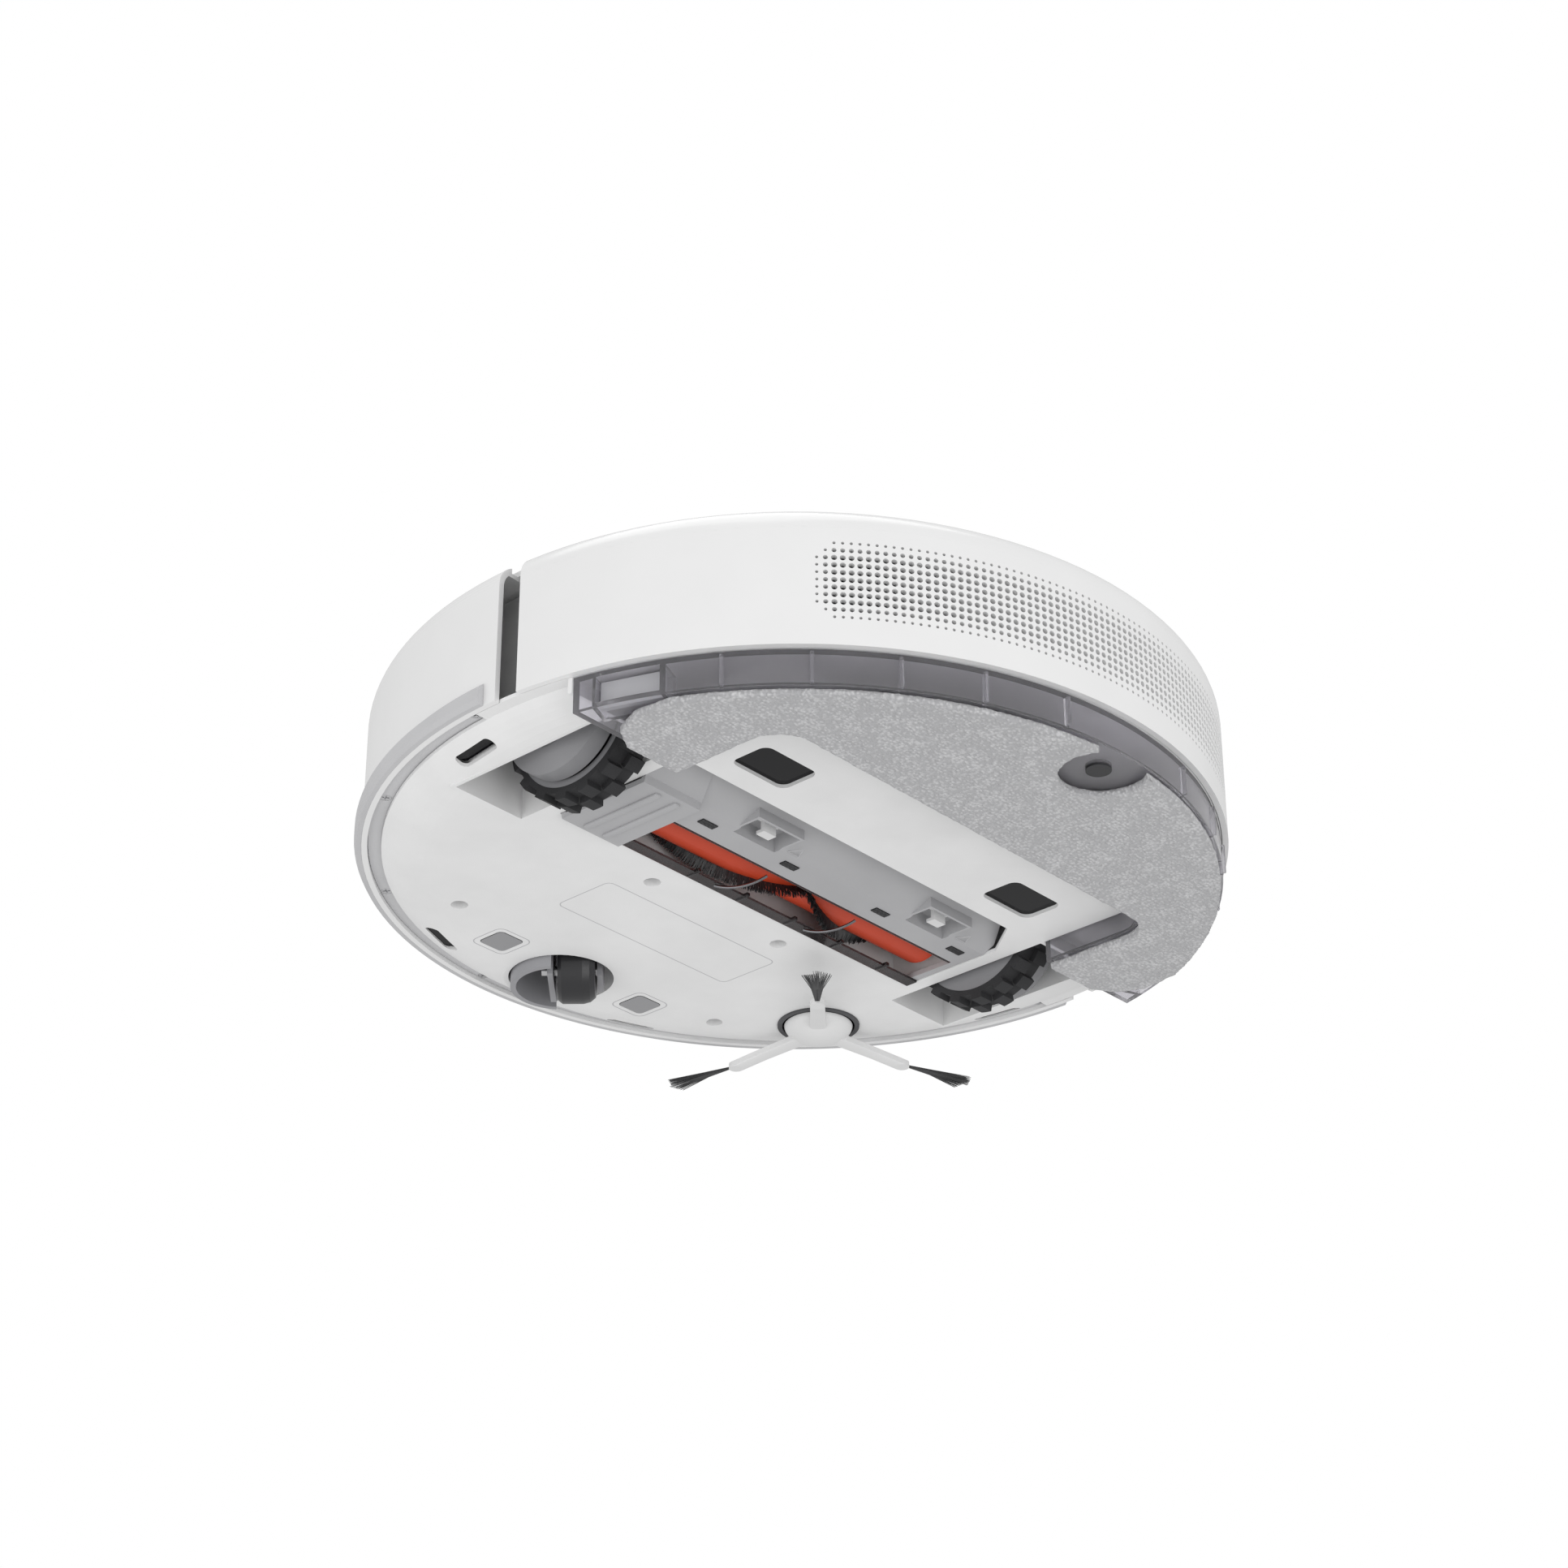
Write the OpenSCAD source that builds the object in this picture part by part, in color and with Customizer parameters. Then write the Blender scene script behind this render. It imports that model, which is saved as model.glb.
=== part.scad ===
// Robot vacuum with a mop tank. Front of the robot is -Y, its left is +X, the floor is z = 0.

/* [Body] */
// Outer radius of the round wall
body_r = 175; // [160:1:190]
// Height of the deck above the floor
body_h = 81.5; // [76:0.5:95]
// Height of the wall's lower edge
rim_z = 19.3; // [17:0.1:22]
// Height of the flat underside above the floor
pan_z = 12.7; // [11:0.1:14]
// Wall thickness of the outer shells
shell_t = 2.4; // [1.8:0.1:3]
// Thickness of the underside pan
pan_t = 1.6; // [1.4:0.1:1.8]
// Rounding of the top edge
edge_r = 11; // [6:0.5:14]

/* [Bumper] */
// Travel of the bumper when it is pushed
bumper_travel = 3.5; // [1:0.5:4]
// Width of the slit between bumper and rear wall, in degrees
slit_angle = 3.5; // [2.5:0.1:5]
// How far the soft strip stands out
strip_out = 3; // [1:0.5:4]
// Height of the soft strip
strip_h = 9.5; // [6:0.5:12]

/* [Drive wheels] */
// Radius of the drive wheels over their lugs
wheel_r = 34; // [30:0.5:35]
// Width of the tyres
tyre_w = 14.6; // [11:0.2:15]
// Distance of a tyre's middle from the centre plane
wheel_x = 121; // [120:0.5:121.5]
// Place of the wheel axle along Y
wheel_y = 1; // [-1:0.5:2]
// Lugs in each of the two rows
lugs = 17; // [12:1:22]
// Radius of the pins that the wheel arms swing on
arm_pin_r = 2.5; // [1.5:0.1:3]
// Radius of the wheel axles
wheel_axle_r = 3; // [2:0.1:4]

/* [Caster] */
// Distance of the caster in front of the centre
caster_y = 134; // [130:1:136]
// Radius of the caster's socket
caster_socket_r = 22.5; // [21:0.5:24]
// Radius of the caster wheel
caster_wheel_r = 14; // [12:0.5:14.5]
// Direction that the caster points in, in degrees
caster_turn = 132; // [0:1:359]

/* [Brushes] */
// Radius of the roller's core
core_r = 14; // [11:0.5:15]
// Radius over the roller's bristles
bristle_r = 19.5; // [17:0.5:19.8]
// Height of the roller's axis
brush_z = 31; // [31:0.5:33]
// Place of the roller's axis along Y
brush_y = -15; // [-16:0.5:-14]
// Centre of the side brush, across and along
side_brush = [-109, -84];
// Radius over the side brush's arms
side_arm_r = 45.5; // [35:0.5:47]
// Radius over the side brush's bristles
side_tip_r = 78; // [60:1:80]

/* [Mop] */
// How far the tank's outer face lies inside the wall
tank_inset = 3; // [2.5:0.5:25]
// Height of the tank's top
tank_top = 18.8; // [15:0.1:19]
// Thickness of the cloth
cloth_t = 3.5; // [2:0.5:5]
// Half of the gap between the tank's two legs
leg_x = 112; // [108:0.5:114]
// Front edge of the tank's middle
tank_mid_y = 94; // [90:1:98]
// Front edge of the tank's legs
tank_front_y = 40.5; // [40.5:0.5:50]

/* [Top] */
// Half width of the dust bin lid
lid_x = 78; // [70:1:84]
// Front edge of the lid
lid_front = 24.6; // [20:0.1:30]
// Place of the lid's hinge axis
lid_hinge_y = 124; // [116:1:126]
// Radius of the two round buttons
button_r = 9.5; // [7:0.5:11]

/* [Clearances] */
// Gap between pieces that only lie near each other
gap = 0.3; // [0.2:0.05:0.4]
// Radial clearance of a shaft that turns in a bore
running = 0.05; // [0.02:0.01:0.1]

/* [Hidden] */
$fn = 96;
e = 0.01; // how far a cut runs past a face
pan_top = pan_z + pan_t;
slit_front = 2.1; // where the slit starts behind the bumper's end, in degrees
slit_back = slit_front + slit_angle;
// The pan is flat out to this radius and then curves up to the rim
flat_r = body_r - 29;
front_rim_r = body_r - 8;
roof_z = rim_z + 0.2; // underside of the chassis above the mop tank
deck_t = shell_t;
deck_z = body_h - deck_t;
bumper_groove = bumper_travel + 0.6; // open groove between the deck's edge and the bumper's top
edge_z = body_h - edge_r;
edge_x = body_r - edge_r;
lip_top = deck_z - 0.8;
deck_r = edge_x + 4.5 - bumper_groove; // the deck's edge beside the bumper
lip_in = edge_x - 4;
inner_r = body_r - 20.5; // outside of the chassis's inner wall
inner_t = 2;
inner_top = deck_z - gap;
ring_z = rim_z + pan_t + gap;
window_r = body_r - 16.5;
ring_head_r = 2.5;
wheel_z = wheel_r;
pivot_y = wheel_y - 37;
pivot_z = wheel_z + 18;
tyre_in = wheel_x - tyre_w / 2;
tyre_out = wheel_x + tyre_w / 2;
tyre_seat_r = wheel_r - 5;
arm_x = tyre_out + 1.6;
arm_t = 11.5;
well_x = [wheel_x - 9.5, wheel_x + 25.5];
well_y = [wheel_y - 45, wheel_y + 37.2];
well_wall = 1.6;
well_top = deck_z - 2;
caster_z = caster_wheel_r;
caster_trail = 4;
caster_axle_r = 2;
socket_top = 36;
stem_r = 5;
// Brush bay in the pan
bay_x = 104.5;
bay_y = [brush_y - 14.5, brush_y + 51.5];
core_x = [-98, 72];
chamber_r = bristle_r + 2;
chamber_t = 1.6;
chamber_x = [-104, 73];
cover_z = pan_z + gap;
cover_t = 2.2;
cover_split = 72.6; // where the cover ends and the gear cover begins
band_y = [brush_y + 28, brush_y + 45];
band_rise = 7;
mouth_rear = brush_y + 13.5;
latch_x = [35.5, -69];
latch_pocket = [24, 14];
latch_travel = 3;
tuft_x = [59, 11, -45, -93];
wire_x = [17, -37];
// Gears at the roller's left end
gear_teeth = 20;
pinion_teeth = 10;
gear_module = 1.5;
gear_x = 78;
gear_w = 7;
gear_lift = 50; // direction from the roller's axis to the pinion, in degrees
gear_centres = gear_module * (gear_teeth + pinion_teeth) / 2 + 0.3;
pinion_y = brush_y + gear_centres * cos(gear_lift);
pinion_z = brush_z + gear_centres * sin(gear_lift);
motor_shaft_r = 2;
tank_r = body_r - tank_inset;
tank_z = cloth_t + gap;
tank_wall = 1.6;
notch = [4.5, 160];
notch_r = 17;
tab_angle = 21;
tab_travel = 3;
hinge_z = body_h - 2;
hinge_pin_r = 1;
knuckle_r = 2;
knuckle_x = 50;
knuckle_w = 16;
lid_z = deck_z + gap;
fan_at = [-84, 94];
fan_r = 38;
bin_x = [-36, 88];
bin_y = [42, 130];
bin_z = roof_z + pan_t + gap;
bin_top = 72;
duct_x = [-50, -8];
duct_z = [34, 52];

// ---------- shared shapes ----------
// Draws a piece for the left side, or its mirror image for the right side
module on_side(s) {
  if (s > 0) children();
  else mirror([1, 0, 0]) children();
}
// Turns an outline drawn in Y and Z into a solid along X
module along_x(x0, x1) {
  translate([x0, 0, 0]) rotate([90, 0, 90]) linear_extrude(x1 - x0) children();
}
module box(a, b) {
  translate(a) cube([b[0] - a[0], b[1] - a[1], b[2] - a[2]]);
}
// Rod along X
module rod_x(r, x0, x1, y, z) {
  translate([x0, y, z]) rotate([0, 90, 0]) cylinder(r = r, h = x1 - x0);
}
module round_box(w, h, r) {
  for (x = [-1, 1]) for (y = [-1, 1]) translate([x * (w / 2 - r), y * (h / 2 - r)]) circle(r, $fn = 32);
  square([w, h - 2 * r], center = true);
  square([w - 2 * r, h], center = true);
}
// Part of a turned ring between two angles
module arc_ring(a0, a1) {
  rotate([0, 0, a0]) rotate_extrude(angle = a1 - a0, $fn = 180) children();
}
// Points of the pan's curve from the flat floor up to radius r1 and height z1
function rim_curve(r1, z1, n = 6) =
  let (dx = r1 - flat_r, dz = z1 - pan_z, rho = (dx * dx + dz * dz) / (2 * dz), top = asin(dx / rho))
  [for (i = [0:n]) [flat_r + rho * sin(top * i / n), pan_z + rho * (1 - cos(top * i / n))]];
module rim_profile(r1, z1) {
  low = rim_curve(r1, z1);
  n = len(low);
  polygon(concat([[0, pan_z]], low, [for (i = [n - 1:-1:0]) [low[i][0], low[i][1] + pan_t]],
    [[0, pan_top]]));
}
function arc(cx, cz, r, a0, a1, n = 8) = [for (i = [0:n]) let (a = a0 + (a1 - a0) * i / n)
  [cx + r * cos(a), cz + r * sin(a)]];
// Outline of the tank, d inside its edge
module tank_outline(d) {
  difference() {
    intersection() {
      circle(tank_r - d, $fn = 180);
      translate([-body_r, tank_front_y + d]) square([2 * body_r, body_r]);
    }
    inner_bay(d);
  }
}
// The bay between the tank's legs, with round corners
module inner_bay(d) {
  r = 15;
  w = leg_x + d;
  top = tank_mid_y + d;
  translate([-w, 0]) square([2 * w, top - r]);
  translate([r - w, 0]) square([2 * (w - r), top]);
  for (x = [-1, 1]) translate([x * (w - r), top - r]) circle(r);
}
// Gear outline with straight-flanked teeth, thin enough to run with play
module gear_outline(teeth) {
  root = gear_module * teeth / 2 - 1.75;
  tip = root + 3;
  flank = [[root, -1.4], [tip, -0.45], [tip, 0.45], [root, 1.4]];
  polygon([for (i = [0:teeth - 1]) let (a = i * 360 / teeth) for (p = flank)
    [p[0] * cos(a) - p[1] * sin(a), p[0] * sin(a) + p[1] * cos(a)]]);
}

// ---------- chassis ----------
module wheel_well(s, grow = 0) {
  on_side(s) box([well_x[0] - grow, well_y[0] - grow, pan_z - 2 * e],
    [well_x[1] + grow, well_y[1] + grow, well_top - well_wall + grow]);
}
module screw_places() {
  for (p = [[76.5, -116], [-76.5, -116], [38, bay_y[0] - 14], [-38, bay_y[0] - 14]]) translate(p) children();
}
module side_brush_at() {
  translate([side_brush[0], side_brush[1], 0]) children();
}
module front_window_places() {
  for (a = [-8, -69, 188, 249]) rotate([0, 0, a]) translate([window_r, 0, 0]) children();
}
module caster_at() {
  translate([0, -caster_y, 0]) children();
}
// Outline of the bay, cut off at its right rear corner
module bay_outline() {
  polygon([[-bay_x, bay_y[0]], [bay_x, bay_y[0]], [bay_x, bay_y[1]], [-bay_x + 13, bay_y[1]],
    [-bay_x, bay_y[1] - 17]]);
}
module chassis() {
  color("gainsboro") difference() {
    union() {
      difference() {
        union() {
          rotate_extrude($fn = 180) rim_profile(front_rim_r, rim_z - 0.1);
          // flat ledge that the rear wall closes on
          arc_ring(-slit_front, 180 + slit_front) translate([front_rim_r - 3, rim_z + 0.1])
            square([body_r - shell_t - gap - front_rim_r + 3, pan_t]);
        }
        translate([0, 0, pan_z - 1]) linear_extrude(20) pocket();
      }
      // roof over the tank, and the step down to the pan
      translate([0, 0, roof_z]) linear_extrude(pan_t) pocket();
      translate([0, 0, pan_z]) linear_extrude(roof_z + pan_t - pan_z) difference() {
        intersection() {
          circle(body_r - shell_t - gap, $fn = 180);
          difference() {
            translate([-body_r, tank_front_y - 0.5 - pan_t]) square([2 * body_r, body_r]);
            inner_bay(-pan_t - 0.5);
          }
        }
        pocket();
      }
      // inner wall that carries the deck
      arc_ring(180 - 10, 370) translate([inner_r - inner_t, pan_z + 3]) square([inner_t, inner_top - pan_z - 3]);
      for (s = [1, -1]) wheel_well(s, well_wall);
      // caster socket with its stem bearing
      caster_at() {
        translate([0, 0, pan_z]) cylinder(r = caster_socket_r + 2, h = socket_top - pan_z);
        cylinder_between(stem_r + 3, socket_top - 2, socket_top + 12);
      }
      screw_places() cylinder_between(5, pan_z, pan_z + 18);
    }
    for (s = [1, -1]) {
      wheel_well(s);
      // holes for the arm's pin
      on_side(s) rod_x(arm_pin_r, well_x[0] - 5, well_x[1] + 5, pivot_y, pivot_z);
      on_side(s) translate([75, 57, pan_z - 1]) linear_extrude(10) round_box(30, 19, 4);
      on_side(s) translate([41.5, -127.5, pan_z - 1]) linear_extrude(5) round_box(14, 14, 2.5);
    }
    translate([0, 0, pan_z - 1]) linear_extrude(10) bay_outline();
    caster_at() {
      cylinder_between(caster_socket_r, pan_z - 1, socket_top - 2);
      cylinder_between(stem_r + running, 0, 60);
    }
    side_brush_at() cylinder_between(18, pan_z - 1, 24);
    front_window_places() translate([0, 0, 5]) linear_extrude(22) round_box(6, 22, 2.5);
    screw_places() {
      cylinder_between(3.6, pan_z - 1, pan_z + 6.3);
      cylinder_between(1.6, pan_z, pan_z + 16);
    }
  }
}
module cylinder_between(r, z0, z1) {
  translate([0, 0, z0]) cylinder(r = r, h = z1 - z0);
}
// Plan of the space that the tank slides into, open to the rear
module pocket() {
  difference() {
    intersection() {
      circle(body_r - shell_t - gap, $fn = 180);
      translate([-body_r, tank_front_y - 0.5]) square([2 * body_r, body_r]);
    }
    inner_bay(-0.5);
  }
}
module base_screws() {
  color("silver") screw_places() difference() {
    union() {
      cylinder_between(3.3, pan_z + 4.2, pan_z + 6.3);
      cylinder_between(1.5, pan_z + 6, pan_z + 15);
    }
    for (a = [0, 90]) rotate([0, 0, a]) translate([-1.8, -0.4, pan_z + 4]) cube([3.6, 0.8, 1.4]);
  }
}
module charging_contacts() {
  color("darkgray") for (s = [1, -1]) translate([s * 41.5, -127.5, pan_z - 0.2])
    linear_extrude(pan_t + 0.6) round_box(13.4, 13.4, 2.2);
}
module rear_cliff_windows() {
  color("black") for (s = [1, -1]) translate([s * 75, 57, pan_top]) linear_extrude(1.4) round_box(34, 23, 4);
}
module front_cliff_windows() {
  color([0.2, 0.2, 0.2]) front_window_places() translate([0, 0, rim_z - 2.4])
    linear_extrude(ring_z - gap - rim_z + 2.4) round_box(5.6, 21.6, 2.3);
}

// ---------- upper housing ----------
// Outline of the lid, grown by d, with its two front corners round
module lid_outline(d) {
  translate([-lid_x - d, lid_front + 14]) square([2 * (lid_x + d), lid_hinge_y - lid_front - 16.2 + d]);
  translate([0, lid_front + 16]) round_box(2 * (lid_x + d), 32 + 2 * d, 14 + d);
}
module upper_housing() {
  color("white") difference() {
    union() {
      difference() {
        union() {
          // the deck's disc, and the part of its edge that faces the bumper
          translate([0, 0, deck_z]) cylinder(r = edge_x - 0.5, h = deck_t, $fn = 180);
          arc_ring(179.5 - slit_back, 360.5 + slit_back) translate([edge_x - 3, deck_z])
            square([deck_r - edge_x + 3, deck_t]);
          translate([0, 0, deck_z - 2.3]) linear_extrude(2.4) translate([-lid_x - 4, lid_front - 4])
            square([2 * lid_x + 8, lid_hinge_y - lid_front + 10]);
          arc_ring(slit_back, 180 - slit_back) polygon(concat([[body_r, rim_z]],
            arc(edge_x, edge_z, edge_r, 0, 90), [[edge_x - 2, body_h], [edge_x - 2, deck_z]],
            arc(edge_x, edge_z, edge_r - shell_t, 90, 0), [[body_r - shell_t, rim_z]]));
        }
        translate([0, 0, deck_z]) linear_extrude(5) lid_outline(0.6);
        translate([0, 0, deck_z - 5]) linear_extrude(10) translate([-lid_x + 4, lid_front + 4])
          square([2 * lid_x - 8, lid_hinge_y - lid_front - 10]);
        // room for the hinge's knuckles
        translate([0, 0, deck_z - 5]) linear_extrude(10) translate([-lid_x - 0.6, lid_hinge_y - 3])
          square([2 * lid_x + 1.2, 5.6]);
      }
      for (s = [1, -1]) for (k = [-1, 1]) hinge_ear(s * knuckle_x + k * (knuckle_w / 2 + 3.4));
    }
    for (s = [1, -1]) {
      rod_x(hinge_pin_r, s * knuckle_x - 15, s * knuckle_x + 15, lid_hinge_y, hinge_z);
      translate([s * 16, -70, deck_z - 1]) cylinder(r = button_r + 0.2, h = 5);
    }
    translate([0, -112, deck_z - 1]) cylinder(r = 13, h = 5);
  }
}
module hinge_ear(x) {
  rod_x(knuckle_r - 0.1, x - 3, x + 3, lid_hinge_y, hinge_z);
  box([x - 3, lid_hinge_y, hinge_z - knuckle_r + 0.1], [x + 3, lid_hinge_y + 2.8, hinge_z]);
}
module bin_lid() {
  color("whitesmoke") difference() {
    union() {
      translate([0, 0, lid_z]) linear_extrude(body_h - lid_z) difference() {
        lid_outline(0);
        translate([0, lid_front - 4]) circle(9);
      }
      for (s = [1, -1]) {
        rod_x(knuckle_r, s * knuckle_x - knuckle_w / 2, s * knuckle_x + knuckle_w / 2, lid_hinge_y, hinge_z);
        box([s * knuckle_x - knuckle_w / 2, lid_hinge_y - 3, lid_z],
          [s * knuckle_x + knuckle_w / 2, lid_hinge_y, body_h]);
      }
    }
    for (s = [1, -1]) rod_x(hinge_pin_r + running, s * knuckle_x - 15, s * knuckle_x + 15, lid_hinge_y, hinge_z);
  }
}
module lid_hinge_pins() {
  color("silver") for (s = [1, -1])
    rod_x(hinge_pin_r, s * knuckle_x - 14, s * knuckle_x + 14, lid_hinge_y, hinge_z);
}
module button(s) {
  translate([s * 16, -70, 0]) {
    cylinder_between(button_r, deck_z - 2, body_h - 0.2);
    cylinder_between(button_r + 1.5, deck_z - 3.5, deck_z - gap);
    cylinder_between(3, deck_z - 12, deck_z - 3);
  }
}
module power_button() { color("whitesmoke") button(1); }
module home_button() { color("whitesmoke") button(-1); }
module camera_window() {
  color("black") translate([0, -112, 0]) {
    cylinder_between(12.8, deck_z + 0.4, body_h - 0.2);
    cylinder_between(9, deck_z - 9, deck_z + 0.6);
  }
}

// ---------- bumper ----------
module bumper() {
  top_a = acos((bumper_groove + 0.4) / edge_r);
  tip = edge_x + bumper_groove + 0.4;
  color("white") arc_ring(180 - slit_front, 360 + slit_front) polygon(concat([[body_r, rim_z]],
    arc(edge_x, edge_z, edge_r, 0, top_a), [[tip, lip_top], [lip_in, lip_top], [lip_in, lip_top - 2]],
    arc(edge_x, edge_z, edge_r - shell_t, 45, 0), [[body_r - shell_t, rim_z]]));
}
module bumper_strip() {
  color("lightgray") arc_ring(180 - slit_front + 2, 360 + slit_front - 2)
    polygon([[body_r + 0.05, rim_z], [body_r + strip_out - 1, rim_z], [body_r + strip_out, rim_z + 2],
      [body_r + strip_out, rim_z + strip_h - 3], [body_r + 0.3, rim_z + strip_h], [body_r + 0.05, rim_z + strip_h]]);
}
module bumper_ring() {
  color("lightgray") difference() {
    arc_ring(180 + 1, 360 - 1) translate([inner_r + 9.3, ring_z]) square([body_r - shell_t - inner_r - 9.5, 1.8]);
    ring_screws() {
      cylinder_between(0.9, ring_z - 1, ring_z + 4);
      cylinder_between(ring_head_r + 0.1, ring_z - 1, ring_z + 1.2);
    }
  }
}
module ring_screws() {
  for (a = [-3, -29, -56.4, -86]) for (m = [a, 180 - a]) rotate([0, 0, m]) translate([body_r - 5, 0, 0]) children();
}
module bumper_screws() {
  color("silver") ring_screws() difference() {
    union() {
      cylinder_between(ring_head_r, ring_z + 0.1, ring_z + 1.2);
      cylinder_between(0.9, ring_z + 1, ring_z + 5);
    }
    for (a = [0, 90]) rotate([0, 0, a]) translate([-1.5, -0.3, ring_z]) cube([3, 0.6, 0.7]);
  }
}
// Two coil springs between the inner wall and the bumper
module bumper_springs() {
  color("silver") for (s = [1, -1]) {
    x = 60;
    y0 = -sqrt(pow(inner_r, 2) - pow(x - 4.5, 2)) - 0.1;
    y1 = -sqrt(pow(body_r - shell_t, 2) - pow(x + 4.5, 2)) + 0.1;
    turns = 9;
    for (i = [0:turns]) translate([s * x, y0 - 0.7 + (y1 - y0 + 1.4) * i / turns, 48]) rotate([90, 0, 0])
      rotate_extrude($fn = 32) translate([3.8, 0]) circle(0.6, $fn = 16);
  }
}
module bumper_switches() {
  color("dimgray") for (s = [1, -1]) rotate([0, 0, s * 22]) translate([0, -inner_r, 0]) {
    box([-6, -11, 56], [6, -0.05, 64]);
    box([-1.5, bumper_travel + inner_r + shell_t - body_r + 0.3, 58], [1.5, -10, 62]);
  }
}

// ---------- caster ----------
// The caster's own frame: X along its axle, Y the way it rolls
module caster_frame() {
  caster_at() rotate([0, 0, caster_turn]) children();
}
module caster_fork() {
  r = caster_socket_r - 1;
  color("darkgray") caster_frame() difference() {
    union() {
      cylinder_between(stem_r, socket_top - 6, socket_top + 9);
      cylinder_between(r, socket_top - 6.3, socket_top - 2.3);
      difference() {
        cylinder_between(r, 8, socket_top - 6);
        cylinder_between(r - 2.4, 7, socket_top - 6.3);
        translate([-3, -30, 0]) cube([60, 60, 40]);
      }
      intersection() {
        cylinder_between(r, 8, socket_top - 6);
        union() {
          box([-5, -14, 8], [-2.6, 14, socket_top - 6]);
          box([15.8, -8, 10], [18, 8, socket_top - 6]);
        }
      }
    }
    rod_x(caster_axle_r, -9, 20, -caster_trail, caster_z);
  }
}
module caster_wheel() {
  w = 15.6;
  color([0.12, 0.12, 0.12]) caster_frame() translate([-0.6, -caster_trail, caster_z]) rotate([0, 90, 0])
    rotate_extrude() polygon([[caster_axle_r + running, 0], [caster_wheel_r - 1.2, 0], [caster_wheel_r, 1.6],
      [caster_wheel_r, 10.5], [caster_wheel_r - 0.8, 13.5], [caster_wheel_r - 2.6, w], [caster_axle_r + running, w]]);
}
module caster_axle() {
  color("silver") caster_frame() rod_x(caster_axle_r, -8, 18, -caster_trail, caster_z);
}

// ---------- drive modules ----------
module wheel_arm(s) {
  color("lightgray") on_side(s) difference() {
    union() {
      translate([arm_x, wheel_y, wheel_z]) rotate([0, 90, 0]) {
        cylinder(r = wheel_r - 7, h = arm_t - 4);
        translate([0, 0, arm_t - 4]) cylinder(r1 = wheel_r - 7, r2 = wheel_r - 16, h = 4);
      }
      along_x(arm_x, arm_x + 9) {
        translate([pivot_y, pivot_z]) circle(arm_pin_r + 3.5);
        translate([pivot_y, pivot_z]) rotate(atan2(wheel_z - pivot_z, wheel_y - pivot_y))
          polygon([[0, arm_pin_r + 3.4], [30, 18], [30, -18], [0, -arm_pin_r - 3.4]]);
      }
      rod_x(arm_pin_r + 3.5, arm_x, well_x[1] - gap, pivot_y, pivot_z);
    }
    rod_x(arm_pin_r + running, arm_x - 1, well_x[1] + 1, pivot_y, pivot_z);
  }
}
module drive_motor(s) {
  color("dimgray") on_side(s) difference() {
    rod_x(16, tyre_in + 3.6, arm_x, wheel_y, wheel_z);
    rod_x(wheel_axle_r + running, tyre_in, arm_x - 1, wheel_y, wheel_z);
  }
}
module wheel_rim(s) {
  color("lightgray") on_side(s) {
    translate([tyre_in + 0.2, wheel_y, wheel_z]) rotate([0, 90, 0]) difference() {
      cylinder(r = tyre_seat_r - 0.05, h = tyre_w - 0.4);
      translate([0, 0, 2.4]) cylinder(r = tyre_seat_r - 3, h = tyre_w);
    }
    rod_x(wheel_axle_r, tyre_in + 2, arm_x - 1.4, wheel_y, wheel_z);
  }
}
module tyre_outline(phase) {
  difference() {
    intersection() {
      circle(wheel_r);
      union() {
        circle(wheel_r - 2.6);
        for (i = [0:lugs - 1]) rotate([0, 0, (i + phase) * 360 / lugs - 90])
          translate([wheel_r - 4, -2.7]) square([6, 5.4]);
      }
    }
    circle(tyre_seat_r);
  }
}
module tyre(s) {
  mid = (tyre_in + tyre_out) / 2;
  color([0.1, 0.1, 0.1]) on_side(s) translate([0, wheel_y, wheel_z]) {
    along_x(tyre_in, mid) tyre_outline(0);
    along_x(mid, tyre_out) tyre_outline(0.5);
  }
}
module left_wheel_arm() { wheel_arm(1); }
module right_wheel_arm() { wheel_arm(-1); }
module left_drive_motor() { drive_motor(1); }
module right_drive_motor() { drive_motor(-1); }
module left_wheel_rim() { wheel_rim(1); }
module right_wheel_rim() { wheel_rim(-1); }
module left_tyre() { tyre(1); }
module right_tyre() { tyre(-1); }
module arm_pins() {
  color("silver") for (s = [1, -1]) on_side(s)
    rod_x(arm_pin_r, well_x[0] - 1.4, well_x[1] + 1.4, pivot_y, pivot_z);
}
// Coils around the pins, beside the arms' bosses
module suspension_springs() {
  pitch = 1.8;
  turns = floor((arm_x - well_x[0] - 2) / pitch);
  color("silver") for (s = [1, -1]) on_side(s) for (i = [0:turns - 1])
    translate([arm_x - 1 - i * pitch, pivot_y, pivot_z]) rotate([0, 90, 0])
      rotate_extrude($fn = 32) translate([arm_pin_r + 1.4, 0]) circle(0.7, $fn = 16);
}

// ---------- side brush ----------
module side_arms() {
  for (a = [41, 161, 281]) rotate([0, 0, a]) children();
}
module side_brush_rotor() {
  color("white") side_brush_at() {
    translate([0, 0, 4.5]) rotate_extrude() intersection() {
      translate([0, 8]) scale([15 / 8, 1]) circle(8, $fn = 64);
      square([15, 7.6]);
    }
    cylinder_between(motor_shaft_r, 12, 34);
    side_arms() {
      hull() {
        translate([12, 0, 6.4]) cylinder(r = 3.6, h = 2.6, $fn = 24);
        translate([29, 0, 3.9]) cylinder(r = 3.2, h = 2.4, $fn = 24);
      }
      hull() {
        translate([29, 0, 3.9]) cylinder(r = 3.2, h = 2.4, $fn = 24);
        translate([side_arm_r - 3.2, 0, 1.6]) cylinder(r = 3.2, h = 2.4, $fn = 24);
      }
    }
  }
}
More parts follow.
